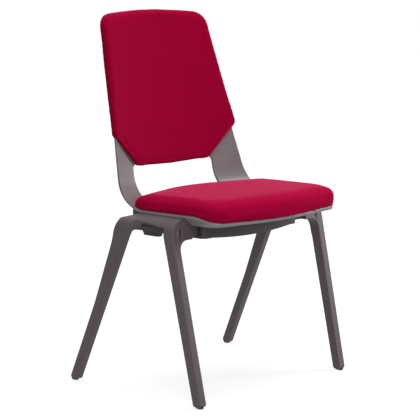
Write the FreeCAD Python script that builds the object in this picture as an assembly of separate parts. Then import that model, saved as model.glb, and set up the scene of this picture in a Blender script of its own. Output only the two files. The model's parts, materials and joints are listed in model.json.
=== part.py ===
import FreeCAD, Part
import math
import os
from FreeCAD import Vector

# Visitor chair: a one-piece seat and back shell on a moulded four-leg frame, with an upholstered
# seat pad and an upholstered back sleeve. Millimetres, +Z up, the sitter faces -Y, so the
# sitter's right is at -X. Until the last step Y = 0 lies midway between the front and rear feet.

# Feet and legs
FRONT_LEG_OUTSET = 40.0
REAR_LEG_OUTSET = 57.0
FOOT_SPREAD = 412.0
FRONT_LEAN = 10.9
REAR_LEAN = 27.2
LEG_WIDTH_FOOT = 24.0
FRONT_LEG_WIDTH_TOP = 30.0
REAR_LEG_WIDTH_MID = 26.0
REAR_LEG_WIDTH_TOP = 37.0
REAR_LEG_MID_Z = 200.0
REAR_LEG_TOP_Z = 350.0
REAR_LEG_BOW = 900.0
REAR_LEG_TOP_BOW = 90.0
LEG_THICK = 18.0
LEG_EDGE_RADIUS = 2.5
FOOT_CORNER = 7.0

# Shoulder and rail on top of the legs
SHOULDER_RADIUS = 42.0
SHELF_REACH = 60.0
RAIL_OPENING_FRONT_Z = 391.0
RAIL_OPENING_REAR_Z = 398.0
RAIL_OPENING_FRONT_RADIUS = 5.0
RAIL_OPENING_REAR_RADIUS = 20.0
RAIL_REAR_Y = 37.0
RAIL_REAR_CORNER = 6.0
RAIL_REAR_DROP = 9.0
RAIL_REAR_SLOPE = 50.0
RAIL_OVER = 3.0

# Arms that reach in from the leg tops to the seat carrier
ARM_WIDTH = 34.0
ARM_ROOT = 4.0
ARM_FRONT_BOTTOM_Z = 364.0
ARM_REAR_BOTTOM_Z = 376.0
ARM_FRONT_GUSSET = 22.0
ARM_REAR_GUSSET = 6.0
ARM_RECESS = 16.0
SLOT_TIP_Z = 348.0
SLOT_TOP_Z = 389.0
SLOT_WIDTH = 7.0
SLOT_DEPTH = 18.0
SLOT_RAKE = 4.0

# Seat carrier, an inverted tray under the shell
CARRIER_SIDE_INSET = 46.0
CARRIER_FRONT_Y = -149.0
CARRIER_REAR_Y = 100.0
CARRIER_BOW = 12.0
CARRIER_FRONT_RADIUS = 1100.0
CARRIER_CORNER = 14.0
CARRIER_DEPTH = 46.5
CARRIER_BELLY = 6.0
CARRIER_WALL = 4.0
CARRIER_PLATE = 4.0
CARRIER_RIB = 2.5
CARRIER_RIB_DEPTH = 4.0
CARRIER_RIBS_ALONG = 4
CARRIER_RIBS_ACROSS = 4

# Shell of seat and back
SEAT_TOP_Z = 418.0
SHELL_THICK = 6.5
SEAT_HALF_WIDTH_REAR = 202.0
SEAT_TAPER = 5.0
SEAT_FRONT_Y = -262.0
SEAT_FRONT_BOW = 26.0
SEAT_FRONT_RADIUS = 900.0
SEAT_FRONT_CORNER = 38.0
SEAT_SIDE_BREAK_Y = -60.0
SEAT_SIDE_RADIUS = 400.0
WATERFALL_START_Y = -178.0
WATERFALL_SLOPE = 12.0
WATERFALL_RADIUS = 150.0
BACK_FOOT_Y = 119.5
BEND_RADIUS = 75.0
LOWER_RECLINE = 9.0
UPPER_RECLINE = 11.0
LUMBAR_Z = 600.0
LUMBAR_RADIUS = 900.0
PLAN_RADIUS = 395.0
BACK_TOP_Z = 860.0
BACK_HALF_WIDTH_BEVEL = 184.0
BACK_BEVEL_Z = 582.0
BACK_HALF_WIDTH_TOP = 153.0
BACK_TOP_CORNER = 40.0
BACK_TOP_ARCH = 10.0
BACK_TOP_RADIUS = 1200.0
BACK_SIDE_RADIUS = 900.0
STRAP_BREAK_Z = 445.0
STRAP_RADIUS = 200.0
WINDOW_HALF_WIDTH = 128.0
WINDOW_TOP_Z = 508.0
WINDOW_BOTTOM_Z = 427.0
WINDOW_CORNER = 16.0
BOSS_RADIUS = 8.0
BOSS_HEIGHT = 5.5

# Upholstery of the back
BACK_FOAM_CENTRE = 15.0
BACK_PLAN_RADIUS_FRONT = 490.0
BACK_LINER = 2.5
COVER_THICK = 1.2
SLEEVE_TOP_Z = 867.0
SLEEVE_TOP_ARCH = 9.0
SLEEVE_TOP_RADIUS = 1100.0
SLEEVE_HALF_WIDTH_TOP = 160.0
SLEEVE_TOP_CORNER = 38.0
SLEEVE_HALF_WIDTH_BEVEL = 193.5
SLEEVE_BEVEL_Z = 583.0
SLEEVE_BEVEL_CORNER = 8.0
SLEEVE_BOTTOM_Z = 499.0
SLEEVE_BOTTOM_SAG = 5.0
SLEEVE_BOTTOM_HALF_WIDTH = 111.0
SLEEVE_BOTTOM_CORNER = 10.0
SLEEVE_BOTTOM_RADIUS = 900.0
SLEEVE_EDGE = 4.0
SLEEVE_CORNER_SHARE = 0.4

# Upholstery of the seat
PAD_OVERHANG = 3.0
PAD_REAR_Y = 90.0
PAD_REAR_CORNER = 20.0
PAD_THICK = 36.0
PAD_FRONT_RADIUS = 500.0
PAD_SIDE_RADIUS = 300.0
PAD_REAR_LIFT = 1.25
PAD_CORNER_GROWTH = 0.3
PAD_BREAK_SHIFT = 0.1
BOARD_THICK = 5.0
BOARD_INSET = 26.0
HEM_WIDTH = 38.0
# Height above the seat as a share of the pad's thickness, then how far the side, front and rear draw in
PAD_LEVELS = [(-0.75, 6.0, 5.0, 6.0), (0.0, 5.0, 4.0, 5.0), (0.16, 1.5, 1.0, 1.5), (0.36, 0.0, 0.0, 0.0),
              (0.58, 1.5, 3.5, 3.0), (0.76, 7.0, 11.0, 12.0), (0.88, 15.0, 23.0, 28.0),
              (0.95, 27.0, 41.0, 50.0), (0.985, 45.0, 64.0, 72.0), (1.0, 72.0, 97.0, 98.0)]
# The levels that the foam inside the cover keeps
FOAM_LEVELS = [PAD_LEVELS[i] for i in (0, 1, 3, 5, 7, 9)]

# Glides, buffers and fasteners
GLIDE_PAD = 3.0
GLIDE_INSET = 3.0
GLIDE_ROUND = 0.8
GLIDE_BEVEL = 0.4
GLIDE_STEM_RADIUS = 5.0
GLIDE_STEM_LENGTH = 22.0
BUFFER_LENGTH = 58.0
BUFFER_FRONT_Y = 0.0
BUFFER_DROP = 10.0
BUFFER_WIDTH = 12.0
BUFFER_GRIP = 6.0
BUFFER_ROUND = 1.5
BUFFER_TIP_ROUND = 1.0
BOLT_RADIUS = 3.0
BOLT_HEAD_RADIUS = 6.0
BOLT_HEAD_HEIGHT = 3.5
INSERT_RADIUS = 5.0
INSERT_LENGTH = 16.0
SCREW_RADIUS = 2.5
SCREW_HEAD_RADIUS = 4.5
SCREW_HEAD_HEIGHT = 3.0
SCREW_BITE = 8.0
TEE_FLANGE_RADIUS = 9.0
TEE_FLANGE_THICK = 1.5
TEE_BARREL_RADIUS = 4.2
SCREW_SPOT_X = 112.0
SCREW_SPOT_FRONT_Y = -115.0
SCREW_SPOT_REAR_Y = 30.0
PAD_BOLT_X = 75.0
PAD_BOLT_FRONT_Y = -80.0
PAD_BOLT_REAR_Y = 25.0

# Clearances
FIT = 0.1
SOFT_GAP = 0.3
TIP_GAP = 2.0

# Room that cutting solids take beyond the chair, and the overlap with which pieces are joined and cut
REACH = 400.0
OVERRUN = 60.0
CUT_DEPTH = 118.0
OVERLAP = 1.0
PLAN_SWEEP = 92.0

HALF_SPREAD = FOOT_SPREAD / 2.0
SEAT_HALF_WIDTH_FRONT = SEAT_HALF_WIDTH_REAR - SEAT_TAPER
FRONT_FACE_X = SEAT_HALF_WIDTH_FRONT + FRONT_LEG_OUTSET
REAR_FACE_X = SEAT_HALF_WIDTH_REAR + REAR_LEG_OUTSET
CARRIER_HALF_WIDTH = SEAT_HALF_WIDTH_FRONT - CARRIER_SIDE_INSET
CUT_LOW_Z = SEAT_TOP_Z - CUT_DEPTH
SHELL_UNDER_Z = SEAT_TOP_Z - SHELL_THICK
PLATE_TOP_Z = SHELL_UNDER_Z - BOSS_HEIGHT
PLATE_UNDER_Z = PLATE_TOP_Z - CARRIER_PLATE
CARRIER_EDGE_Z = PLATE_TOP_Z - CARRIER_DEPTH
PLAN_AXIS_Y = BACK_FOOT_Y - PLAN_RADIUS
SIDES = {"right": -1.0, "left": 1.0}
UP = Vector(0, 0, 1)
OUT = Vector(1, 0, 0)


# Drawing helpers

def in_yz(u, v):
    return Vector(0.0, u, v)


def in_xz(u, v):
    return Vector(u, 0.0, v)


def in_xy(u, v):
    return Vector(u, v, 0.0)


def unit(ax, ay):
    length = math.hypot(ax, ay)
    return ax / length, ay / length


def rounded_face(corners, place):
    """A plane face from corners (u, v, radius), each corner rounded by a tangent arc."""
    count = len(corners)
    stops = []
    for i, (u, v, radius) in enumerate(corners):
        before, after = corners[i - 1], corners[(i + 1) % count]
        back = unit(before[0] - u, before[1] - v)
        ahead = unit(after[0] - u, after[1] - v)
        half_turn = math.acos(max(-1.0, min(1.0, back[0] * ahead[0] + back[1] * ahead[1]))) / 2.0
        if radius <= 0.0:
            stops.append(((u, v), None, (u, v)))
            continue
        run = radius / math.tan(half_turn)
        bisect = unit(back[0] + ahead[0], back[1] + ahead[1])
        middle = radius / math.sin(half_turn) - radius
        stops.append(((u + back[0] * run, v + back[1] * run),
                      (u + bisect[0] * middle, v + bisect[1] * middle),
                      (u + ahead[0] * run, v + ahead[1] * run)))
    edges = []
    for i, (start, mid, end) in enumerate(stops):
        if mid is not None:
            edges.append(Part.Arc(place(*start), place(*mid), place(*end)).toShape())
        onward = stops[(i + 1) % count][0]
        if math.hypot(onward[0] - end[0], onward[1] - end[1]) > 1e-6:
            edges.append(Part.LineSegment(place(*end), place(*onward)).toShape())
    return Part.Face(Part.Wire(edges))


def along_x(corners, x0, x1):
    face = rounded_face(corners, in_yz)
    face.translate(Vector(x0, 0, 0))
    return face.extrude(Vector(x1 - x0, 0, 0))


def along_y(corners, y0, y1):
    face = rounded_face(corners, in_xz)
    face.translate(Vector(0, y0, 0))
    return face.extrude(Vector(0, y1 - y0, 0))


def along_z(corners, z0, z1):
    face = rounded_face(corners, in_xy)
    face.translate(Vector(0, 0, z0))
    return face.extrude(Vector(0, 0, z1 - z0))


def mirrored(corners):
    """A symmetric outline from its half at +u, listed from one end of the middle line to the other."""
    other = [(-u, v, r) for u, v, r in reversed(corners) if u > 1e-9]
    return corners + other


def about_plan_axis(corners, axis_y):
    """The solid that a profile in the middle plane sweeps about a vertical axis before the sitter."""
    face = rounded_face(corners, in_yz)
    base = Vector(0, axis_y, 0)
    face.rotate(base, UP, -PLAN_SWEEP / 2.0)
    return face.revolve(base, UP, PLAN_SWEEP)


def rod(radius, start, direction, length):
    return Part.makeCylinder(radius, length, start, direction)


def one_solid(shape):
    """The shape as its single solid, with faces that lie on one surface joined."""
    clean = shape.removeSplitter()
    return clean.Solids[0] if len(clean.Solids) == 1 else clean


def flipped(shape):
    """The same piece for the other side of the chair."""
    return shape.mirror(Vector(0, 0, 0), Vector(1, 0, 0))


# The sitter's side of the shell, as a line in the middle plane

def shifted_line(points, shift):
    """A chain of (y, z, radius) moved sideways, towards the sitter for a positive shift."""
    segments = []
    for (ay, az, _), (by, bz, _) in zip(points, points[1:]):
        dy, dz = unit(by - ay, bz - az)
        ny, nz = -dz, dy
        segments.append((ay + ny * shift, az + nz * shift, dy, dz))
    moved = [(segments[0][0], segments[0][1], 0.0)]
    corners = zip(segments, segments[1:], points[1:-1])
    for (ay, az, ady, adz), (by, bz, bdy, bdz), (_, _, radius) in corners:
        cross = ady * bdz - adz * bdy
        t = ((by - ay) * bdz - (bz - az) * bdy) / cross
        grown = radius - shift if cross > 0 else radius + shift
        moved.append((ay + ady * t, az + adz * t, grown))
    last_y, last_z, dy, dz = segments[-1]
    length = math.hypot(points[-1][0] - points[-2][0], points[-1][1] - points[-2][1])
    moved.append((last_y + dy * length, last_z + dz * length, 0.0))
    return moved


def lumbar_y():
    return BACK_FOOT_Y + (LUMBAR_Z - SEAT_TOP_Z) * math.tan(math.radians(LOWER_RECLINE))


def back_line():
    """Seat plane, rear bend, lower back and upper back, past the top of the chair."""
    over_z = BACK_TOP_Z + OVERRUN
    over_y = lumbar_y() + (over_z - LUMBAR_Z) * math.tan(math.radians(UPPER_RECLINE))
    return [(SEAT_SIDE_BREAK_Y, SEAT_TOP_Z, 0.0), (BACK_FOOT_Y, SEAT_TOP_Z, BEND_RADIUS),
            (lumbar_y(), LUMBAR_Z, LUMBAR_RADIUS), (over_y, over_z, 0.0)]


def front_line():
    """Waterfall at the front of the seat and the flat behind it."""
    over_y = SEAT_FRONT_Y - OVERRUN
    over_z = SEAT_TOP_Z - (WATERFALL_START_Y - over_y) * math.tan(math.radians(WATERFALL_SLOPE))
    return [(over_y, over_z, 0.0), (WATERFALL_START_Y, SEAT_TOP_Z, WATERFALL_RADIUS),
            (0.0, SEAT_TOP_Z, 0.0)]


def behind_back(shift, axis_y):
    """Everything behind the back surface and under the seat's rear, swept about a vertical axis."""
    line = shifted_line(back_line(), shift)
    far = BACK_FOOT_Y + REACH
    closing = [(far, line[-1][1], 0.0), (far, CUT_LOW_Z, 0.0), (line[0][0], CUT_LOW_Z, 0.0)]
    return about_plan_axis(line + closing, axis_y)


def behind_seat(shift):
    """Everything under the seat surface and behind the back surface, both moved towards the sitter."""
    front = shifted_line(front_line(), shift)
    straight = along_x(front + [(front[-1][0], CUT_LOW_Z, 0.0), (front[0][0], CUT_LOW_Z, 0.0)], -REACH, REACH)
    return behind_back(shift, PLAN_AXIS_Y).fuse(straight).removeSplitter()


def seat_outline(inset):
    """Plan of the seat, open to the rear, drawn in from the edge of the shell."""
    front = SEAT_FRONT_Y + inset
    shoulder = SEAT_FRONT_Y + SEAT_FRONT_BOW + inset
    return mirrored([(0.0, front, SEAT_FRONT_RADIUS),
                     (SEAT_HALF_WIDTH_FRONT - inset, shoulder, SEAT_FRONT_CORNER - inset),
                     (SEAT_HALF_WIDTH_REAR - inset, SEAT_SIDE_BREAK_Y, SEAT_SIDE_RADIUS),
                     (SEAT_HALF_WIDTH_REAR - inset, REACH, 0.0)])


def shell_front_view(grow):
    top = BACK_TOP_Z - BACK_TOP_ARCH
    return mirrored([(0.0, BACK_TOP_Z + grow, BACK_TOP_RADIUS),
                     (BACK_HALF_WIDTH_TOP + grow, top + grow, BACK_TOP_CORNER),
                     (BACK_HALF_WIDTH_BEVEL + grow, BACK_BEVEL_Z, BACK_SIDE_RADIUS),
                     (SEAT_HALF_WIDTH_REAR + grow, STRAP_BREAK_Z, STRAP_RADIUS),
                     (SEAT_HALF_WIDTH_REAR + grow, CUT_LOW_Z, 0.0)])


def window_view(grow):
    half = WINDOW_HALF_WIDTH - grow
    return mirrored([(half, WINDOW_TOP_Z - grow, WINDOW_CORNER),
                     (half, WINDOW_BOTTOM_Z + grow, WINDOW_CORNER)])


def screw_spots():
    return [Vector(x, y, 0) for x in (-SCREW_SPOT_X, SCREW_SPOT_X)
            for y in (SCREW_SPOT_FRONT_Y, SCREW_SPOT_REAR_Y)]


def pad_bolt_spots():
    return [Vector(x, y, 0) for x in (-PAD_BOLT_X, PAD_BOLT_X)
            for y in (PAD_BOLT_FRONT_Y, PAD_BOLT_REAR_Y)]


def at_height(spot, z):
    return Vector(spot.x, spot.y, z)


# Shell

def shell_skin(grow):
    """Seat pan, straps and back panel without bosses; every surface moves out by the growth."""
    skin = behind_seat(grow).cut(behind_seat(-SHELL_THICK - grow))
    skin = skin.common(along_z(seat_outline(-grow), CUT_LOW_Z, BACK_TOP_Z + 2.0 * OVERRUN))
    skin = skin.common(along_y(shell_front_view(grow), -REACH, REACH))
    return skin.cut(along_y(window_view(grow), 0.0, REACH))


def make_shell():
    shell = shell_skin(0.0)
    for spot in screw_spots() + pad_bolt_spots():
        shell = shell.fuse(rod(BOSS_RADIUS, at_height(spot, PLATE_TOP_Z), UP, BOSS_HEIGHT + OVERLAP))
    for spot in screw_spots():
        hole = at_height(spot, PLATE_TOP_Z - OVERLAP)
        shell = shell.cut(rod(SCREW_RADIUS + FIT, hole, UP, SCREW_BITE + SOFT_GAP + OVERLAP))
    for spot in pad_bolt_spots():
        hole = at_height(spot, PLATE_TOP_Z - OVERLAP)
        shell = shell.cut(rod(BOLT_RADIUS + FIT, hole, UP, BOSS_HEIGHT + SHELL_THICK + 2.0 * OVERLAP))
    return one_solid(shell)


# Side frames, drawn for the sitter's left

def front_edge_y(z):
    """Front edge of the front leg."""
    return -HALF_SPREAD - LEG_WIDTH_FOOT / 2.0 + z * math.tan(math.radians(FRONT_LEAN))


def rear_edge_y(z):
    """Front edge of the rear leg."""
    return HALF_SPREAD - LEG_WIDTH_FOOT / 2.0 - z * math.tan(math.radians(REAR_LEAN))


def frame_side_view():
    """Front leg, rail and rear leg as one outline with the opening between them."""
    front_top_y = front_edge_y(RAIL_OPENING_FRONT_Z) + FRONT_LEG_WIDTH_TOP
    over_z = SHELL_UNDER_Z + RAIL_OVER
    return [(rear_edge_y(GLIDE_PAD) + LEG_WIDTH_FOOT, GLIDE_PAD, FOOT_CORNER),
            (rear_edge_y(REAR_LEG_MID_Z) + REAR_LEG_WIDTH_MID, REAR_LEG_MID_Z, REAR_LEG_BOW),
            (rear_edge_y(REAR_LEG_TOP_Z) + REAR_LEG_WIDTH_TOP, REAR_LEG_TOP_Z, REAR_LEG_TOP_BOW),
            (RAIL_REAR_Y, SHELL_UNDER_Z - RAIL_REAR_DROP, RAIL_REAR_CORNER),
            (RAIL_REAR_Y - RAIL_REAR_SLOPE, over_z, 0.0),
            (front_edge_y(over_z), over_z, 0.0),
            (front_edge_y(GLIDE_PAD), GLIDE_PAD, FOOT_CORNER),
            (front_edge_y(GLIDE_PAD) + LEG_WIDTH_FOOT, GLIDE_PAD, FOOT_CORNER),
            (front_top_y, RAIL_OPENING_FRONT_Z, RAIL_OPENING_FRONT_RADIUS),
            (rear_edge_y(RAIL_OPENING_REAR_Z), RAIL_OPENING_REAR_Z, RAIL_OPENING_REAR_RADIUS),
            (rear_edge_y(GLIDE_PAD), GLIDE_PAD, FOOT_CORNER)]


def face_x(y):
    """Outer face of the legs, which stand wider at the rear."""
    return (FRONT_FACE_X + REAR_FACE_X) / 2.0 + y * (REAR_FACE_X - FRONT_FACE_X) / FOOT_SPREAD


def shoulder_walls():
    """Legs across the chair, with the round shoulder and the shelf under the shell, run to front and rear."""
    inner_radius = SHOULDER_RADIUS - LEG_THICK
    high = face_x(-REACH)
    shelf = high - SHELF_REACH
    section = [(high, 0.0, 0.0), (high, SHELL_UNDER_Z, SHOULDER_RADIUS), (shelf, SHELL_UNDER_Z, 0.0),
               (shelf, SHELL_UNDER_Z - LEG_THICK, 0.0),
               (high - LEG_THICK, SHELL_UNDER_Z - LEG_THICK, inner_radius),
               (high - LEG_THICK, 0.0, 0.0)]
    face = rounded_face(section, in_xz)
    face.translate(Vector(0, -REACH, 0))
    return face.extrude(Vector(face_x(REACH) - high, 2.0 * REACH, 0))


def arm(y_front, bottom_z, recess, gusset_radius):
    """A beam from the leg top to the carrier, set back from the leg, with a gusset that follows the leg."""
    root_x = face_x(y_front) - LEG_THICK
    deep_x = root_x + ARM_ROOT
    top_z = SHELL_UNDER_Z - LEG_THICK / 2.0
    low_z = bottom_z - 2.0 * gusset_radius
    shoulder = [(root_x - LEG_THICK, top_z, 0.0), (deep_x, top_z - SHOULDER_RADIUS / 2.0, 0.0)]
    beam = along_y([(CARRIER_HALF_WIDTH, top_z, 0.0)] + shoulder +
                   [(deep_x, bottom_z, 0.0), (CARRIER_HALF_WIDTH, bottom_z, 0.0)],
                   y_front, y_front + ARM_WIDTH)
    tip_x = root_x - gusset_radius - LEG_THICK
    gusset = along_y([(tip_x, top_z, 0.0)] + shoulder +
                     [(deep_x, low_z, 0.0), (root_x, low_z, 0.0), (root_x - OVERLAP, bottom_z, gusset_radius),
                      (tip_x, bottom_z, 0.0)], -REACH, REACH)
    gusset = gusset.common(along_x(frame_side_view(), 0.0, REACH))
    spread = ARM_WIDTH / 2.0
    near = Part.makeBox(REACH, ARM_WIDTH + 2.0 * spread, REACH, Vector(0, y_front - spread, low_z - OVERLAP))
    gusset = gusset.common(near)
    if recess > 0.0:
        inner_x = CARRIER_HALF_WIDTH - OVERLAP
        before_y = y_front - recess / 3.0
        beam = beam.cut(along_z([(inner_x, before_y, 0.0), (root_x + ARM_ROOT - OVERLAP, before_y, 0.0),
                                 (root_x - LEG_THICK / 2.0, y_front + recess, recess),
                                 (inner_x, y_front + recess, 0.0)], bottom_z - OVERLAP, top_z + OVERLAP))
    return beam.fuse(gusset)


def arm_front_y():
    return front_edge_y(ARM_FRONT_BOTTOM_Z) + OVERLAP


def arm_rear_y():
    return RAIL_REAR_Y - ARM_WIDTH - ARM_ROOT


def slot():
    """The narrow fork between the front leg and the arm that leaves it."""
    y = front_edge_y(SLOT_TOP_Z)
    tip_x = face_x(y) - LEG_THICK - OVERLAP
    top_x = tip_x - SLOT_RAKE
    corner = SLOT_WIDTH / 7.0
    return along_y([(tip_x, SLOT_TIP_Z, 0.0), (top_x, SLOT_TOP_Z, corner),
                    (top_x - SLOT_WIDTH, SLOT_TOP_Z, corner)], y - LEG_WIDTH_FOOT, y + SLOT_DEPTH)


def bolt_spots():
    """Centres of the frame bolts on the carrier's side wall, as (y, z)."""
    front_y = arm_front_y() + (ARM_WIDTH + ARM_RECESS) / 2.0
    rear_y = arm_rear_y() + ARM_WIDTH / 2.0
    return [(front_y, (ARM_FRONT_BOTTOM_Z + PLATE_UNDER_Z) / 2.0),
            (rear_y, (ARM_REAR_BOTTOM_Z + PLATE_UNDER_Z) / 2.0)]


def foot_edges():
    """Front edge of each leg at the floor."""
    return {"front": front_edge_y(0.0), "rear": rear_edge_y(0.0)}


def foot_middle(y):
    middle = y + LEG_WIDTH_FOOT / 2.0
    return face_x(middle) - LEG_THICK / 2.0, middle


def eased(frame):
    """The bare frame with the long edges of its outer face rounded."""
    edges = []
    for edge in frame.Edges:
        outside = all(abs(v.X - face_x(v.Y)) < 0.01 for v in edge.Vertexes)
        if outside and edge.BoundBox.ZLength > SHOULDER_RADIUS:
            edges.append(edge)
    return frame.makeFillet(LEG_EDGE_RADIUS, edges)


def make_side_frame():
    bars = along_x(frame_side_view(), 0.0, REACH)
    frame = eased(bars.common(shoulder_walls()).removeSplitter().Solids[0])
    frame = frame.fuse(arm(arm_front_y(), ARM_FRONT_BOTTOM_Z, ARM_RECESS, ARM_FRONT_GUSSET))
    frame = frame.fuse(arm(arm_rear_y(), ARM_REAR_BOTTOM_Z, 0.0, ARM_REAR_GUSSET))
    frame = frame.cut(slot())
    for y, z in bolt_spots():
        mouth = Vector(CARRIER_HALF_WIDTH - OVERLAP, y, z)
        frame = frame.cut(rod(INSERT_RADIUS + FIT, mouth, OUT, INSERT_LENGTH + OVERLAP + FIT))
    for y in foot_edges().values():
        x, middle = foot_middle(y)
        depth = GLIDE_PAD + GLIDE_STEM_LENGTH + OVERLAP
        frame = frame.cut(rod(GLIDE_STEM_RADIUS + FIT, Vector(x, middle, 0), UP, depth))
    return one_solid(frame)


# Seat carrier

def carrier_plan(inset):
    half = CARRIER_HALF_WIDTH - inset
    corner = CARRIER_CORNER - inset
    return mirrored([(0.0, CARRIER_FRONT_Y - CARRIER_BOW + inset, CARRIER_FRONT_RADIUS),
                     (half, CARRIER_FRONT_Y + inset, corner), (half, CARRIER_REAR_Y - inset, corner)])


def make_carrier():
    """An inverted tray with a bellied lower edge, ribs under its plate and holes for its fasteners."""
    half = CARRIER_HALF_WIDTH
    bend = CARRIER_HALF_WIDTH - CARRIER_WALL - 2.0 * BUFFER_WIDTH
    slope = 2.0 * CARRIER_BELLY / bend
    belly_radius = CARRIER_BELLY / (math.hypot(1.0, slope) - 1.0)
    belly = along_y(mirrored([(0.0, CARRIER_EDGE_Z - 2.0 * CARRIER_BELLY, belly_radius),
                              (bend, CARRIER_EDGE_Z, 0.0), (half, CARRIER_EDGE_Z, 0.0),
                              (half, PLATE_TOP_Z, 0.0)]), -REACH, REACH)
    tray = along_z(carrier_plan(0.0), CUT_LOW_Z, PLATE_TOP_Z).common(belly)
    tray = tray.cut(along_z(carrier_plan(CARRIER_WALL), CUT_LOW_Z, PLATE_UNDER_Z))
    rib_low_z = PLATE_UNDER_Z - CARRIER_RIB_DEPTH
    room = along_z(carrier_plan(CARRIER_WALL / 2.0), rib_low_z, PLATE_UNDER_Z + OVERLAP)
    length = CARRIER_REAR_Y - CARRIER_FRONT_Y
    ribs = []
    for i in range(CARRIER_RIBS_ALONG):
        x = half * (2.0 * (i + 1) / (CARRIER_RIBS_ALONG + 1) - 1.0)
        corner = Vector(x - CARRIER_RIB / 2.0, -REACH, CUT_LOW_Z)
        ribs.append(Part.makeBox(CARRIER_RIB, REACH * 2.0, REACH, corner))
    for i in range(CARRIER_RIBS_ACROSS):
        y = CARRIER_FRONT_Y + length * (i + 1) / (CARRIER_RIBS_ACROSS + 1)
        corner = Vector(-REACH, y - CARRIER_RIB / 2.0, CUT_LOW_Z)
        ribs.append(Part.makeBox(REACH * 2.0, CARRIER_RIB, REACH, corner))
    grid = ribs[0].multiFuse(ribs[1:]).common(room)
    tray = tray.fuse(grid)
    for spots, radius in ((screw_spots(), SCREW_RADIUS), (pad_bolt_spots(), BOLT_RADIUS)):
        for spot in spots:
            hole = at_height(spot, PLATE_UNDER_Z - OVERLAP)
            tray = tray.cut(rod(radius + FIT, hole, UP, CARRIER_PLATE + 2.0 * OVERLAP))
    for y, z in bolt_spots():
        tray = tray.cut(rod(BOLT_RADIUS + FIT, Vector(-REACH, y, z), OUT, REACH * 2.0))
    return one_solid(tray)


def make_buffer():
    """Stacking buffer under the side wall, with an upstand inside the wall and sloped ends."""
    inner = CARRIER_HALF_WIDTH - CARRIER_WALL - FIT
    shelf = CARRIER_EDGE_Z
    low = shelf - BUFFER_DROP
    high = shelf + BUFFER_GRIP
    back = CARRIER_HALF_WIDTH - BUFFER_WIDTH
    section = along_y([(CARRIER_HALF_WIDTH, low, BUFFER_ROUND), (CARRIER_HALF_WIDTH, shelf, 0.0),
                       (inner, shelf, 0.0), (inner, high, BUFFER_TIP_ROUND), (back, high, BUFFER_TIP_ROUND),
                       (back, low, BUFFER_ROUND)], -REACH, REACH)
    rear = BUFFER_FRONT_Y + BUFFER_LENGTH
    ends = along_x([(BUFFER_FRONT_Y + BUFFER_DROP / 2.0, low, BUFFER_TIP_ROUND), (BUFFER_FRONT_Y, shelf, 0.0),
                    (BUFFER_FRONT_Y, high, 0.0), (rear, high, 0.0), (rear, shelf, 0.0),
                    (rear - BUFFER_DROP / 2.0, low, BUFFER_TIP_ROUND)], -REACH, REACH)
    return one_solid(section.common(ends))


# Upholstery

def sleeve_view(inset):
    """Front view of the back sleeve."""
    top = SLEEVE_TOP_Z - SLEEVE_TOP_ARCH
    drawn = inset * SLEEVE_CORNER_SHARE
    return mirrored([(0.0, SLEEVE_TOP_Z - inset, SLEEVE_TOP_RADIUS),
                     (SLEEVE_HALF_WIDTH_TOP - inset, top - inset, SLEEVE_TOP_CORNER - inset),
                     (SLEEVE_HALF_WIDTH_BEVEL - inset, SLEEVE_BEVEL_Z + drawn, SLEEVE_BEVEL_CORNER - inset),
                     (SLEEVE_BOTTOM_HALF_WIDTH - drawn, SLEEVE_BOTTOM_Z + SLEEVE_BOTTOM_SAG + inset,
                      SLEEVE_BOTTOM_CORNER),
                     (0.0, SLEEVE_BOTTOM_Z + inset, SLEEVE_BOTTOM_RADIUS)])


def back_slab(front_shift, rear_shift, inset):
    """A pad as wide as the sleeve, flatter in plan at its front than the shell so that it crowns."""
    front_axis = BACK_FOOT_Y - BACK_FOAM_CENTRE - BACK_PLAN_RADIUS_FRONT
    slab = behind_back(front_shift, front_axis).cut(behind_back(rear_shift, PLAN_AXIS_Y))
    return slab.common(along_y(sleeve_view(inset), 0.0, REACH))


def bevelled(slab, size):
    """The slab with the rims of its curved front and rear bevelled."""
    rims = []
    for edge in slab.Edges:
        owners = slab.ancestorsOfType(edge, Part.Face)
        if sum(isinstance(face.Surface, (Part.Cone, Part.Toroid)) for face in owners) == 1:
            rims.append(edge)
    return slab.makeChamfer(size, rims)


def make_back_upholstery():
    liner_front = -SHELL_THICK - SOFT_GAP
    liner_rear = liner_front - BACK_LINER
    cover_front = BACK_FOAM_CENTRE + SOFT_GAP
    cover_rear = liner_rear - SOFT_GAP
    skin = shell_skin(SOFT_GAP)
    outer = bevelled(back_slab(cover_front + COVER_THICK, cover_rear - COVER_THICK, 0.0), SLEEVE_EDGE)
    inner = bevelled(back_slab(cover_front, cover_rear, COVER_THICK), SLEEVE_EDGE - COVER_THICK / 2.0)
    room = bevelled(back_slab(BACK_FOAM_CENTRE, liner_rear, COVER_THICK + SOFT_GAP),
                    SLEEVE_EDGE - COVER_THICK / 2.0)
    cover = outer.cut(inner).cut(skin)
    foam = room.cut(behind_back(-SHELL_THICK, PLAN_AXIS_Y)).cut(skin)
    liner = room.common(behind_back(liner_front, PLAN_AXIS_Y))
    return one_solid(cover), one_solid(foam), one_solid(liner)


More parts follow.
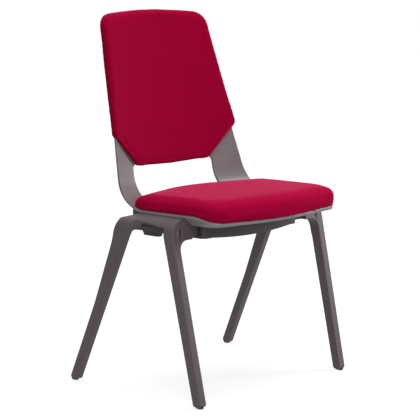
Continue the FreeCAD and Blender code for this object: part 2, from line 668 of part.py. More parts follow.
def pad_outline(side, front, rear):
    """Plan of the seat pad, each edge drawn in by its own amount; its rear follows the plan curve."""
    half_front = SEAT_HALF_WIDTH_FRONT + PAD_OVERHANG - side
    half_rear = SEAT_HALF_WIDTH_REAR + PAD_OVERHANG - side
    front_y = SEAT_FRONT_Y - PAD_OVERHANG + front
    bow = SEAT_FRONT_BOW * (half_front / SEAT_HALF_WIDTH_FRONT) ** 2
    reach = PAD_REAR_Y - PLAN_AXIS_Y
    sag = reach - math.sqrt(reach * reach - half_rear * half_rear)
    slope = PAD_REAR_LIFT * sag / half_rear
    lift = slope * half_rear - sag
    rear_radius = lift / (math.hypot(1.0, slope) - 1.0)
    rear_y = PAD_REAR_Y - rear
    corner = SEAT_FRONT_CORNER + min(side, front) * PAD_CORNER_GROWTH
    break_y = SEAT_SIDE_BREAK_Y - rear * PAD_BREAK_SHIFT
    return mirrored([(0.0, front_y, PAD_FRONT_RADIUS), (half_front, front_y + bow, corner),
                     (half_rear, break_y, PAD_SIDE_RADIUS), (half_rear, rear_y - sag, PAD_REAR_CORNER),
                     (0.0, rear_y + lift, rear_radius)])


def pad_body(levels, inset):
    """The crowned pad as a loft through its outlines, drawn in all round by the inset."""
    wires = []
    for share, side, front, rear in levels:
        wire = rounded_face(pad_outline(side + inset, front + inset, rear + inset), in_xy).OuterWire
        top_drop = inset * max(0.0, share)
        wire.translate(Vector(0, 0, SEAT_TOP_Z + share * PAD_THICK - top_drop))
        wires.append(wire)
    return Part.makeLoft(wires, True, True)


def tee_nut(spot, board_top):
    foot = at_height(spot, board_top - BOARD_THICK)
    flange = rod(TEE_FLANGE_RADIUS, at_height(spot, board_top), UP, TEE_FLANGE_THICK)
    barrel = rod(TEE_BARREL_RADIUS, foot, UP, BOARD_THICK + TEE_FLANGE_THICK / 2.0)
    return flange.fuse(barrel).cut(rod(BOLT_RADIUS + FIT, foot - UP, UP, PAD_THICK))


def make_seat_upholstery():
    hem_low = SOFT_GAP
    hem_high = hem_low + COVER_THICK
    board_low = hem_high + SOFT_GAP
    board_high = board_low + BOARD_THICK
    outer = pad_body(PAD_LEVELS, 0.0).cut(behind_seat(hem_low))
    inner = pad_body(FOAM_LEVELS, COVER_THICK).cut(behind_seat(hem_high))
    room = pad_body(FOAM_LEVELS, COVER_THICK + SOFT_GAP).cut(behind_seat(board_low))
    opening = along_z(pad_outline(HEM_WIDTH, HEM_WIDTH, HEM_WIDTH), CUT_LOW_Z, SEAT_TOP_Z + PAD_THICK / 3.0)
    cover = outer.cut(inner).cut(opening)
    sheet = behind_seat(board_high).cut(behind_seat(board_low))
    top_z = SEAT_TOP_Z + PAD_THICK
    board = sheet.common(along_z(pad_outline(BOARD_INSET, BOARD_INSET, BOARD_INSET), CUT_LOW_Z, top_z))
    wide = behind_seat(board_high + SOFT_GAP).cut(behind_seat(board_low - OVERLAP))
    rim = BOARD_INSET - SOFT_GAP
    foam = room.cut(wide.common(along_z(pad_outline(rim, rim, rim), CUT_LOW_Z, top_z)))
    for spot in pad_bolt_spots():
        board = board.cut(rod(TEE_BARREL_RADIUS + FIT, at_height(spot, SEAT_TOP_Z), UP, PAD_THICK / 2.0))
        foam = foam.cut(rod(TEE_FLANGE_RADIUS + SOFT_GAP, at_height(spot, SEAT_TOP_Z), UP,
                            board_high + TEE_FLANGE_THICK + SOFT_GAP))
    nuts = [tee_nut(spot, SEAT_TOP_Z + board_high) for spot in pad_bolt_spots()]
    return one_solid(cover), one_solid(foam), one_solid(board), Part.makeCompound(nuts)


# Glides and fasteners

def make_glide(y):
    """A pad a little smaller than the leg end, eased below, with a stem up into the leg."""
    x, middle = foot_middle(y)
    half_x = LEG_THICK / 2.0 - GLIDE_INSET
    half_y = LEG_WIDTH_FOOT / 2.0 - GLIDE_INSET
    rim = half_x * GLIDE_ROUND
    pad = along_z([(x - half_x, middle - half_y, rim), (x + half_x, middle - half_y, rim),
                   (x + half_x, middle + half_y, rim), (x - half_x, middle + half_y, rim)], 0.0, GLIDE_PAD)
    low = [edge for edge in pad.Edges if edge.BoundBox.ZMax < FIT]
    pad = pad.makeChamfer(GLIDE_PAD * GLIDE_BEVEL, low)
    stem = rod(GLIDE_STEM_RADIUS, Vector(x, middle, GLIDE_PAD / 2.0), UP, GLIDE_PAD / 2.0 + GLIDE_STEM_LENGTH)
    return one_solid(pad.fuse(stem))


def headed(start, direction, head_radius, head_height, radius, length):
    """A fastener with its head below the start point and its shank beyond it."""
    head = rod(head_radius, start - direction * head_height, direction, head_height)
    shank = rod(radius, start - direction * (head_height / 2.0), direction, head_height / 2.0 + length)
    return head.fuse(shank)


def make_frame_fasteners():
    bolts, inserts = [], []
    for side in SIDES.values():
        out = Vector(side, 0, 0)
        for y, z in bolt_spots():
            seat = Vector(side * (CARRIER_HALF_WIDTH - CARRIER_WALL), y, z)
            length = CARRIER_WALL + INSERT_LENGTH - TIP_GAP
            bolts.append(headed(seat, out, BOLT_HEAD_RADIUS, BOLT_HEAD_HEIGHT, BOLT_RADIUS, length))
            start = Vector(side * CARRIER_HALF_WIDTH, y, z)
            sleeve = rod(INSERT_RADIUS, start, out, INSERT_LENGTH)
            bore = rod(BOLT_RADIUS + FIT, start - out * OVERLAP, out, INSERT_LENGTH + OVERLAP - TIP_GAP + FIT)
            inserts.append(sleeve.cut(bore))
    return [Part.makeCompound(group) for group in (bolts, inserts)]


def make_shell_screws():
    return Part.makeCompound([headed(at_height(spot, PLATE_UNDER_Z), UP, SCREW_HEAD_RADIUS, SCREW_HEAD_HEIGHT,
                                     SCREW_RADIUS, CARRIER_PLATE + SCREW_BITE) for spot in screw_spots()])


def make_pad_bolts():
    reach = SEAT_TOP_Z + 2.0 * SOFT_GAP + COVER_THICK + BOARD_THICK - PLATE_UNDER_Z
    return Part.makeCompound([headed(at_height(spot, PLATE_UNDER_Z), UP, BOLT_HEAD_RADIUS, BOLT_HEAD_HEIGHT,
                                     BOLT_RADIUS, reach) for spot in pad_bolt_spots()])


# The assembly, moved so that the origin lies on the floor under the middle of the chair

pieces = {}
pieces["seat_back_shell"] = make_shell()
frame_left = make_side_frame()
buffer_left = make_buffer()
for side, sign in SIDES.items():
    pieces["side_frame_" + side] = frame_left if sign > 0 else flipped(frame_left)
    pieces["stacking_buffer_" + side] = buffer_left if sign > 0 else flipped(buffer_left)
    for end, y in foot_edges().items():
        glide = make_glide(y)
        pieces["glide_%s_%s" % (end, side)] = glide if sign > 0 else flipped(glide)
pieces["seat_carrier"] = make_carrier()
pieces["back_cover"], pieces["back_foam"], pieces["back_liner"] = make_back_upholstery()
seat_soft = make_seat_upholstery()
pieces["seat_cover"], pieces["seat_foam"], pieces["seat_board"], pieces["pad_tee_nuts"] = seat_soft
pieces["frame_bolts"], pieces["frame_inserts"] = make_frame_fasteners()
pieces["shell_screws"] = make_shell_screws()
pieces["pad_bolts"] = make_pad_bolts()

extent = Part.makeCompound(list(pieces.values())).optimalBoundingBox(False)
os.makedirs("parts", exist_ok=True)
for name, shape in pieces.items():
    shape.translate(Vector(0, -extent.Center.y, 0))
    print(name, shape.isValid(), len(shape.Solids), round(shape.Volume / 1000.0, 1))
    shape.exportStep("parts/%s.step" % name)
print("moved by", -extent.Center.y, "size", extent.XLength, extent.YLength, extent.ZLength)
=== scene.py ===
import json
import math

import bmesh
import bpy
from mathutils import Matrix, Vector
from mathutils.bvhtree import BVHTree


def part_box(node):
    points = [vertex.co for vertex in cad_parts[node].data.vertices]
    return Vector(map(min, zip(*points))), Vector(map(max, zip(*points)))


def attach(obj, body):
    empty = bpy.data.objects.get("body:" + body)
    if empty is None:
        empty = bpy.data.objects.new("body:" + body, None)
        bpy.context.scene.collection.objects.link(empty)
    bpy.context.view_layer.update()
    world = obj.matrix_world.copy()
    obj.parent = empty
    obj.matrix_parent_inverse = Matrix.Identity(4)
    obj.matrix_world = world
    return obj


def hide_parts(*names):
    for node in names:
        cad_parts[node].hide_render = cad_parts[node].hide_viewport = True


MM = 0.001

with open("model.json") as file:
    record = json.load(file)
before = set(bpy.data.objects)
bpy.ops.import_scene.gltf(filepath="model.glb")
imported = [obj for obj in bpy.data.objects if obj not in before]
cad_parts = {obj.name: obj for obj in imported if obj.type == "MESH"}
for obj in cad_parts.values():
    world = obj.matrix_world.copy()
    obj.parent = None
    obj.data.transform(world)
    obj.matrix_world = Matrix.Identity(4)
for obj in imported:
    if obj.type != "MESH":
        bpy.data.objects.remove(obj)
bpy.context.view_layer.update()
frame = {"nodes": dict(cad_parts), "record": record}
scene = bpy.context.scene
scene.view_settings.view_transform = "Standard"


# Camera, found by fitting the part to the photograph

CAMERA_TURN = -0.75049
CAMERA_RISE = 0.14086
CAMERA_ROLL = -0.02661
CAMERA_DISTANCE = 3474.7 * MM
CAMERA_SIDE = 7.33 * MM
CAMERA_AIM = Vector((0.0, 22.766 * MM, 394.8 * MM))
CAMERA_LENS = 126.5
CAMERA_CLIP = 50.0
SENSOR = 36.0


def add_camera():
    """The photograph's camera, turned and raised round its aim, with a slight roll."""
    back = Vector((math.sin(CAMERA_TURN) * math.cos(CAMERA_RISE),
                   -math.cos(CAMERA_TURN) * math.cos(CAMERA_RISE),
                   math.sin(CAMERA_RISE)))
    right = Vector((math.cos(CAMERA_TURN), math.sin(CAMERA_TURN), 0.0))
    up = back.cross(right)
    eye = CAMERA_AIM + back * CAMERA_DISTANCE + right * CAMERA_SIDE
    turn_cos = math.cos(CAMERA_ROLL)
    turn_sin = math.sin(CAMERA_ROLL)
    level = right * turn_cos + up * turn_sin
    upright = up * turn_cos - right * turn_sin
    data = bpy.data.cameras.new("photo_camera")
    data.lens = CAMERA_LENS
    data.sensor_width = SENSOR
    data.clip_end = CAMERA_CLIP
    camera = bpy.data.objects.new("photo_camera", data)
    camera.matrix_world = Matrix(((level.x, upright.x, back.x, eye.x),
                                  (level.y, upright.y, back.y, eye.y),
                                  (level.z, upright.z, back.z, eye.z),
                                  (0.0, 0.0, 0.0, 1.0)))
    scene.collection.objects.link(camera)
    scene.camera = camera


# Node helpers

WAVE_TURNS = 20.0
WAVE_DETAIL_SCALE = 0.3
EDGE_SAMPLES = 6


class Shader:
    """A material with its principled shader, and short calls for the nodes that feed it."""

    def __init__(self, name, **sockets):
        self.material = bpy.data.materials.new(name)
        self.material.use_nodes = True
        self.tree = self.material.node_tree
        self.main = self.tree.nodes["Principled BSDF"]
        for socket, value in sockets.items():
            self.main.inputs[socket.replace("_", " ")].default_value = value
        self.place = self.node("ShaderNodeTexCoord").outputs["Object"]

    def node(self, kind, **settings):
        made = self.tree.nodes.new(kind)
        for key, value in settings.items():
            setattr(made, key, value)
        return made

    def link(self, source, target):
        self.tree.links.new(source, target)

    def noise(self, scale, detail):
        made = self.node("ShaderNodeTexNoise")
        made.inputs["Scale"].default_value = scale
        made.inputs["Detail"].default_value = detail
        self.link(self.place, made.inputs["Vector"])
        return made.outputs["Fac"]

    def bands(self, direction, period, distortion):
        """Waves across one axis with a period in metres."""
        made = self.node("ShaderNodeTexWave", wave_type="BANDS", bands_direction=direction)
        made.inputs["Scale"].default_value = math.tau / (WAVE_TURNS * period)
        made.inputs["Distortion"].default_value = distortion
        made.inputs["Detail Scale"].default_value = WAVE_DETAIL_SCALE
        self.link(self.place, made.inputs["Vector"])
        return made.outputs["Fac"]

    def maths(self, operation, first, second):
        made = self.node("ShaderNodeMath", operation=operation)
        for socket, value in zip(made.inputs, (first, second)):
            if isinstance(value, float):
                socket.default_value = value
            else:
                self.link(value, socket)
        return made.outputs["Value"]

    def spread(self, value, low, high, from_low=0.3, from_high=0.7):
        made = self.node("ShaderNodeMapRange")
        made.inputs["From Min"].default_value = from_low
        made.inputs["From Max"].default_value = from_high
        made.inputs["To Min"].default_value = low
        made.inputs["To Max"].default_value = high
        self.link(value, made.inputs["Value"])
        return made.outputs["Result"]

    def mix(self, share, first, second):
        made = self.node("ShaderNodeMix", data_type="RGBA")
        self.link(share, made.inputs["Factor"])
        for socket, value in ((made.inputs[6], first), (made.inputs[7], second)):
            if isinstance(value, tuple):
                socket.default_value = value + (1.0,)
            else:
                self.link(value, socket)
        return made.outputs[2]

    def bump(self, height, depth, strength, under=None):
        made = self.node("ShaderNodeBump")
        made.inputs["Strength"].default_value = strength
        made.inputs["Distance"].default_value = depth
        self.link(height, made.inputs["Height"])
        if under is not None:
            self.link(under, made.inputs["Normal"])
        return made.outputs["Normal"]

    def feed(self, socket, value):
        self.link(value, self.main.inputs[socket])

    def round_edges(self, radius):
        """The normal of edges rounded by a radius, and how far it leans from the flat face."""
        rounded = self.node("ShaderNodeBevel", samples=EDGE_SAMPLES)
        rounded.inputs["Radius"].default_value = radius
        along = self.node("ShaderNodeVectorMath", operation="DOT_PRODUCT")
        self.link(rounded.outputs["Normal"], along.inputs[0])
        self.link(self.node("ShaderNodeNewGeometry").outputs["Normal"], along.inputs[1])
        return rounded.outputs["Normal"], self.maths("SUBTRACT", 1.0, along.outputs["Value"])


# Materials

YARN_SCALE = 900.0
YARN_SHARE = 0.82
YARN_DEPTH = 0.12 * MM
PATCH_SCALE = 22.0
PATCH_SHARE = 0.18
WEAVE_WANDER = 0.6
WEAVE_DEPTH = 0.22 * MM
GLOSS_PATCH_SCALE = 9.0
# Scale of the noise that breaks up the paler edges, which are partly wear and partly a painted highlight
EDGE_WEAR_AND_HIGHLIGHT_SCALE = 60.0
BRUSH_SCALE = 420.0
EDGE_ROUND = 2.2 * MM


def woven(name, dark, light, across, along, thread):
    """Fine plain weave in object coordinates, with a heathered yarn and a soft nap."""
    cloth = Shader(name, Sheen_Weight=0.36, Sheen_Roughness=0.30, Sheen_Tint=(1.0, 0.16, 0.34, 1.0),
                   Specular_IOR_Level=0.01)
    warp = cloth.bands(across, thread, WEAVE_WANDER)
    weft = cloth.bands(along, thread, WEAVE_WANDER)
    weave = cloth.maths("MULTIPLY", warp, weft)
    yarn = cloth.noise(YARN_SCALE, 2.0)
    patches = cloth.noise(PATCH_SCALE, 4.0)
    tone = cloth.maths("ADD", cloth.maths("MULTIPLY", yarn, YARN_SHARE),
                       cloth.maths("MULTIPLY", patches, PATCH_SHARE))
    heather = cloth.mix(cloth.spread(tone, 0.0, 1.0, 0.36, 0.64), dark, light)
    cloth.feed("Base Color", heather)
    cloth.feed("Roughness", cloth.spread(patches, 0.72, 0.86))
    fibre = cloth.bump(yarn, YARN_DEPTH, 0.5)
    cloth.feed("Normal", cloth.bump(weave, WEAVE_DEPTH, 0.6, fibre))
    return cloth.material


def moulded(name, dark, light, rough_low, rough_high, grain, grain_depth, edge, gloss=0.45):
    """Moulded plastic: fine grain, slow gloss changes from handling, and round edges painted paler,
    partly as wear and partly as a painted highlight.
    """
    plastic = Shader(name, Specular_IOR_Level=gloss)
    fine = plastic.noise(grain, 2.0)
    slow = plastic.noise(GLOSS_PATCH_SCALE, 3.0)
    body = plastic.mix(plastic.spread(slow, 0.0, 1.0, 0.35, 0.65), dark, light)
    rounded, bend = plastic.round_edges(EDGE_ROUND)
    # The edges are painted paler than the body: partly wear, partly a painted highlight along the
    # rounded edges.
    worn_and_lit_edge_mask = plastic.maths("MULTIPLY", plastic.spread(bend, 0.0, 1.0, 0.02, 0.22),
                           plastic.spread(plastic.noise(EDGE_WEAR_AND_HIGHLIGHT_SCALE, 4.0), 0.45, 1.0))
    plastic.feed("Base Color", plastic.mix(worn_and_lit_edge_mask, body, edge))
    plastic.feed("Roughness", plastic.spread(slow, rough_low, rough_high))
    plastic.feed("Normal", plastic.bump(fine, grain_depth, 0.55, rounded))
    return plastic.material


def plated(name):
    """Zinc plated steel with a brushed tone."""
    steel = Shader(name, Metallic=1.0)
    brushed = steel.noise(BRUSH_SCALE, 2.0)
    steel.feed("Base Color", steel.mix(brushed, (0.42, 0.42, 0.44), (0.66, 0.66, 0.68)))
    steel.feed("Roughness", steel.spread(brushed, 0.28, 0.46))
    return steel.material


# The back's fabric is the seat's red fabric painted darker: painted shade.
SHADED_BACK_FABRIC = woven("red_fabric_back_painted_shade", (0.208, 0.0002, 0.017), (0.278, 0.0008, 0.029),
                    "X", "Z", 1.5 * MM)
SEAT_FABRIC = woven("red_fabric_seat", (0.245, 0.0003, 0.021), (0.325, 0.0012, 0.035),
                    "X", "Y", 1.5 * MM)
HEM_FABRIC = woven("red_fabric_hem", (0.30, 0.0008, 0.030), (0.40, 0.002, 0.046),
                   "X", "Z", 1.2 * MM)
THREAD = woven("red_thread", (0.10, 0.001, 0.012), (0.16, 0.002, 0.02), "X", "Z", 0.5 * MM)
# The last colour of each moulded plastic is its paler edge: partly wear, partly a painted highlight.
SHELL = moulded("shell_plastic", (0.155, 0.133, 0.141), (0.185, 0.160, 0.169),
                0.28, 0.37, 1600.0, 0.02 * MM, (0.23, 0.205, 0.212), gloss=0.6)
FRAME = moulded("frame_plastic", (0.070, 0.053, 0.060), (0.092, 0.070, 0.079),
                0.46, 0.60, 1100.0, 0.08 * MM, (0.25, 0.21, 0.225))
# The carrier is the frame's plastic painted darker: painted shade for its place under the seat.
SHADED_CARRIER = moulded("carrier_plastic_painted_shade", (0.036, 0.027, 0.031), (0.047, 0.036, 0.041),
                  0.50, 0.62, 1100.0, 0.08 * MM, (0.10, 0.085, 0.09))
RUBBER = moulded("buffer_rubber", (0.040, 0.036, 0.038), (0.055, 0.050, 0.052),
                 0.62, 0.78, 700.0, 0.06 * MM, (0.08, 0.075, 0.078))
GLIDE = moulded("glide_plastic", (0.048, 0.038, 0.043), (0.064, 0.051, 0.057),
                0.40, 0.54, 500.0, 0.05 * MM, (0.11, 0.095, 0.10))
STEEL = plated("zinc_steel")

FINISHES = {"shell_plastic": SHELL, "frame_plastic": FRAME, "buffer_rubber": RUBBER,
            "glide_plastic": GLIDE, "steel": STEEL}
NODE_FINISHES = {"seat_carrier": SHADED_CARRIER}


def finish_nodes():
    """Each CAD node that stays takes the material of its slot."""
    for row in frame["record"]["subparts"]:
        finish = NODE_FINISHES.get(row["node"], FINISHES.get(row["material_slot"]))
        if finish is None:
            continue
        mesh = frame["nodes"][row["node"]].data
        mesh.materials.clear()
        mesh.materials.append(finish)


# Soft goods

VOXEL = 4.0 * MM
PRESSURE = 4.0
LAST_FRAME = 12
HELD_GROUP = "held"
CLOTH = {"quality": 5, "mass": 0.3, "tension_stiffness": 15.0, "compression_stiffness": 15.0,
         "shear_stiffness": 5.0, "bending_stiffness": 0.5, "use_pressure": True,
         "uniform_pressure_force": PRESSURE, "vertex_group_mass": HELD_GROUP}
SMOOTH_IN = 0.5
SMOOTH_OUT = -0.53
COVER_SMOOTH = 12
WELD = 0.01 * MM
PLUG_INSET = 3.0
BEVEL_CORNER = (193.5, 583.0)
BOTTOM_CORNER = (111.0, 499.0)


def new_object(name, mesh):
    made = bpy.data.objects.new(name, mesh)
    scene.collection.objects.link(made)
    return made


def node_mesh(node):
    """A copy of a CAD node's mesh in the row frame, as a bmesh."""
    source = frame["nodes"][node]
    work = bmesh.new()
    work.from_mesh(source.data)
    work.transform(source.matrix_world)
    bmesh.ops.remove_doubles(work, verts=work.verts, dist=WELD)
    return work


def settle(piece):
    """Bakes the piece's modifiers into its mesh."""
    shown = piece.evaluated_get(bpy.context.evaluated_depsgraph_get())
    mesh = bpy.data.meshes.new_from_object(shown)
    piece.modifiers.clear()
    piece.data = mesh


def remesh(piece):
    change = piece.modifiers.new("remesh", "REMESH")
    change.mode = "VOXEL"
    change.voxel_size = VOXEL
    settle(piece)


def smooth(piece, times):
    """Takes out short waves and keeps the volume: each step in is followed by a step out."""
    for turn in range(times):
        for factor in (SMOOTH_IN, SMOOTH_OUT):
            change = piece.modifiers.new("smooth", "SMOOTH")
            change.factor = factor
            change.iterations = 1
    settle(piece)


def inflate(piece, held, cap):
    """Cloth under pressure, with the held points pinned and every point's travel capped."""
    rest = [v.co.copy() for v in piece.data.vertices]
    group = piece.vertex_groups.new(name=HELD_GROUP)
    group.add(held, 1.0, "REPLACE")
    cloth = piece.modifiers.new("cloth", "CLOTH")
    for key, value in CLOTH.items():
        setattr(cloth.settings, key, value)
    cloth.settings.effector_weights.gravity = 0.0
    cloth.point_cache.frame_start = 1
    cloth.point_cache.frame_end = LAST_FRAME
    for step in range(1, LAST_FRAME + 1):
        scene.frame_set(step)
    settle(piece)
    scene.frame_set(1)
    for vertex, start in zip(piece.data.vertices, rest):
        travel = vertex.co - start
        if travel.length > cap:
            vertex.co = start + travel * (cap / travel.length)


def sleeve_plug():
    """The part of the shell that the sleeve hides, cut along the sleeve's lower outline and capped."""
    work = node_mesh("seat_back_shell")
    corner = Vector((BEVEL_CORNER[0], 0.0, BEVEL_CORNER[1]))
    low = Vector((BOTTOM_CORNER[0], 0.0, BOTTOM_CORNER[1]))
    run = low - corner
    cuts = [(low, Vector((0.0, 0.0, -1.0)))]
    for side in (1.0, -1.0):
        outward = Vector((-run.z * side, 0.0, run.x)).normalized()
        cuts.append((Vector((low.x * side, 0.0, low.z)), outward))
    for spot, outward in cuts:
        whole = work.verts[:] + work.edges[:] + work.faces[:]
        bmesh.ops.bisect_plane(work, geom=whole, plane_co=(spot - outward * PLUG_INSET) * MM,
                               plane_no=outward, clear_outer=True)
        bmesh.ops.holes_fill(work, edges=[e for e in work.edges if e.is_boundary], sides=0)
    return work


def keep_largest(piece):
    """Drops the closed pockets that remeshing leaves inside."""
    work = bmesh.new()
    work.from_mesh(piece.data)
    left = set(work.faces)
    islands = []
    while left:
        todo = [left.pop()]
        island = list(todo)
        while todo:
            for edge in todo.pop().edges:
                for face in edge.link_faces:
                    if face in left:
                        left.discard(face)
                        island.append(face)
                        todo.append(face)
        islands.append(island)
    islands.sort(key=len)
    for island in islands[:-1]:
        bmesh.ops.delete(work, geom=island, context="FACES")
    bmesh.ops.delete(work, geom=[v for v in work.verts if not v.link_faces], context="VERTS")
    work.to_mesh(piece.data)
    work.free()


def closed_cover(name, parts):
    """One closed body from a cover and what fills it, remeshed so that only the outer skin is left."""
    work = bmesh.new()
    for part in parts:
        mesh = bpy.data.meshes.new("part")
        part.to_mesh(mesh)
        part.free()
        work.from_mesh(mesh)
        bpy.data.meshes.remove(mesh)
    mesh = bpy.data.meshes.new(name)
    work.to_mesh(mesh)
    work.free()
    piece = new_object(name, mesh)
    remesh(piece)
    keep_largest(piece)
    smooth(piece, COVER_SMOOTH)
    return piece


def swell(piece, amount):
    """Moves every point out along its normal."""
    normals = [v.normal.copy() for v in piece.data.vertices]
    for vertex, normal in zip(piece.data.vertices, normals):
        vertex.co += normal * amount


def dress(piece, material, subdivide=True):
    """Material, smooth faces and an optional subdivision, and the piece's body and slot."""
    piece.vertex_groups.clear()
    piece.data.materials.clear()
    piece.data.materials.append(material)
    piece.data.polygons.foreach_set("use_smooth", [True] * len(piece.data.polygons))
    if subdivide:
        change = piece.modifiers.new("subdivide", "SUBSURF")
        change.levels = 1
        change.render_levels = 1
    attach(piece, "root")


# Seat cushion

SEAT_NODES = ("seat_cover", "seat_foam", "seat_board")
SEAT_CAP = 0.9 * MM
SEAT_SMOOTH = 10
UNDERSIDE_SLOPE = -0.5
ROLL_OUT = 4.0 * MM
ROLL_DROP = 2.3 * MM
ROLL_LOW = 416.0 * MM
ROLL_HIGH = 432.0 * MM


def eased_step(value, low, high):
    share = min(max((value - low) / (high - low), 0.0), 1.0)
    return share * share * (3.0 - 2.0 * share)


def roll_edge(piece):
    """Fills the lower sides out, so that the front and the sides are one roll down to the shell."""
    outward = [Vector((v.normal.x, v.normal.y, 0.0)) for v in piece.data.vertices]
    for vertex, side in zip(piece.data.vertices, outward):
        share = 1.0 - eased_step(vertex.co.z, ROLL_LOW, ROLL_HIGH)
        vertex.co += side * ROLL_OUT * share
        vertex.co.z -= side.length * ROLL_DROP * share


def make_seat_cushion():
    piece = closed_cover("seat_cushion", [node_mesh(node) for node in SEAT_NODES])
    roll_edge(piece)
    under = [v.index for v in piece.data.vertices if v.normal.z < UNDERSIDE_SLOPE]
    inflate(piece, under, SEAT_CAP)
    smooth(piece, SEAT_SMOOTH)
    dress(piece, SEAT_FABRIC)
    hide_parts("seat_cover", "seat_foam", "seat_board", "pad_tee_nuts")


# Back sleeve

BACK_NODES = ("back_cover", "back_foam", "back_liner")
BACK_CAP = 1.8 * MM
BACK_SMOOTH = 8
BACK_SWELL = 0.8 * MM
HEM_HELD = 12.0 * MM
HEM_SLOPE = -0.7


def make_back_cushion():
    parts = [node_mesh(node) for node in BACK_NODES]
    piece = closed_cover("back_cushion", parts + [sleeve_plug()])
    swell(piece, BACK_SWELL)
    hem_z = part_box("back_cover")[0][2] + HEM_HELD
    hem = [v.index for v in piece.data.vertices
           if v.co.z < hem_z or v.normal.z < HEM_SLOPE]
    inflate(piece, hem, BACK_CAP)
    smooth(piece, BACK_SMOOTH)
    dress(piece, SHADED_BACK_FABRIC)
    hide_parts("back_cover", "back_foam", "back_liner")
    return piece


# Sewn hems along the sleeve's lower edge

BOTTOM_SAG = 5.0
SAG_PARTS = 8
HEM_STEP = 4.0
HEM_ROUNDING = 4
HEM_INSET = 1.0
HEM_PROFILE = [(-0.6, -0.8), (0.2, 0.5), (1.6, 0.9), (4.0, 1.0), (6.2, 0.8), (7.2, -0.1),
               (7.8, -0.8)]
STITCH_INSET = 8.4
STITCH_PITCH = 4.4
STITCH_LENGTH = 3.0
STITCH_RADIUS = 0.45
STITCH_SIDES = 6
STITCH_ARCH = ((0.0, -0.4), (0.2, 0.25), (0.5, 0.4), (0.8, 0.25), (1.0, -0.4))
EYE_AWAY = 1.0
EYE_REACH = 3.0
SLEEVE_MIDDLE_Y = 0.2


def lower_edge():
    """Points of the sleeve's lower outline from the front, with inward directions, in millimetres."""
    corners = [Vector((-BEVEL_CORNER[0], BEVEL_CORNER[1])),
               Vector((-BOTTOM_CORNER[0], BOTTOM_CORNER[1]))]
    for i in range(1, SAG_PARTS):
        share = i / SAG_PARTS
        corners.append(Vector((BOTTOM_CORNER[0] * (2.0 * share - 1.0),
                               BOTTOM_CORNER[1] - BOTTOM_SAG * 4.0 * share * (1.0 - share))))
    corners.append(Vector(BOTTOM_CORNER))
    corners.append(Vector(BEVEL_CORNER))
    walk = []
    for first, second in zip(corners, corners[1:]):
        count = max(int((second - first).length / HEM_STEP), 1)
        walk += [first.lerp(second, i / count) for i in range(count)]
    walk.append(corners[-1])
    for turn in range(HEM_ROUNDING):
        inner = [(a + b * 2.0 + c) / 4.0 for a, b, c in zip(walk, walk[1:], walk[2:])]
        walk = [walk[0]] + inner + [walk[-1]]
    path = []
    for i, point in enumerate(walk):
        run = walk[min(i + 1, len(walk) - 1)] - walk[max(i - 1, 0)]
        path.append((point, Vector((-run.y, run.x)).normalized()))
    return path


def on_skin(tree, point, side):
    """The skin's point and normal at a front view point, seen from the front (-1) or the rear (1)."""
    eye = Vector((point.x * MM, side * EYE_AWAY, point.y * MM))
    hit, normal = tree.ray_cast(eye, Vector((0.0, -side, 0.0)), EYE_REACH)[:2]
    if hit is None:
        middle = Vector((point.x * MM, SLEEVE_MIDDLE_Y, point.y * MM))
        hit, normal = tree.find_nearest(middle)[:2]
    return hit, normal


def make_hem(tree, side, name):
    """A raised band along the sleeve's lower edge, on its front or rear."""
    path = lower_edge()
    work = bmesh.new()
    rows = []
    for point, inward in path[1:-1]:
        row = []
        for inset, height in HEM_PROFILE:
            spot, normal = on_skin(tree, point + inward * (inset + HEM_INSET), side)
            row.append(work.verts.new(spot + normal * height * MM))
        rows.append(row)
    for row, after in zip(rows, rows[1:]):
        for i in range(len(row) - 1):
            work.faces.new((row[i], row[i + 1], after[i + 1], after[i]))
    bmesh.ops.recalc_face_normals(work, faces=work.faces)
    mesh = bpy.data.meshes.new(name)
    work.to_mesh(mesh)
    work.free()
    dress(new_object(name, mesh), HEM_FABRIC, subdivide=False)


def make_stitches(tree, side, name):
    """A row of single threads just inside the hem, at an even pitch."""
    path = lower_edge()
    work = bmesh.new()
    travelled = 0.0
    due = 0.0
    for (point, inward), (after, _) in zip(path[2:-2], path[3:-2]):
        run = (after - point).length
        while due < travelled + run:
            share = (due - travelled) / run
            middle = point.lerp(after, share) + inward * (STITCH_INSET + HEM_INSET)
            along = (after - point).normalized()
            ends = [on_skin(tree, middle + along * STITCH_LENGTH * half, side)
                    for half in (-0.5, 0.5)]
            add_stitch(work, ends)
            due += STITCH_PITCH
        travelled += run
    mesh = bpy.data.meshes.new(name)
    work.to_mesh(mesh)
    work.free()
    dress(new_object(name, mesh), THREAD, subdivide=False)


def add_stitch(work, ends):
    """A short thread that bows up between two needle holes."""
    (first, normal), (last, other) = ends
    rise = (normal + other).normalized()
    along = (last - first).normalized()
    side = along.cross(rise)
    rings = []
    for share, lift in STITCH_ARCH:
        centre = first.lerp(last, share) + rise * lift * MM
        ring = []
        for i in range(STITCH_SIDES):
            angle = math.tau * i / STITCH_SIDES
            out = side * math.cos(angle) + rise * math.sin(angle)
            ring.append(work.verts.new(centre + out * STITCH_RADIUS * MM))
        rings.append(ring)
    for ring, after in zip(rings, rings[1:]):
        for i in range(STITCH_SIDES):
            beside = (i + 1) % STITCH_SIDES
            work.faces.new((ring[i], after[i], after[beside], ring[beside]))
    work.faces.new(list(reversed(rings[0])))
    work.faces.new(rings[-1])


def skin_tree(piece):
    """A search tree of the piece's skin as it is shown."""
    shown = piece.evaluated_get(bpy.context.evaluated_depsgraph_get())
    work = bmesh.new()
    work.from_mesh(shown.to_mesh())
    shown.to_mesh_clear()
    tree = BVHTree.FromBMesh(work)
    work.free()
    return tree


# Rim that turns down round the shell's front corners

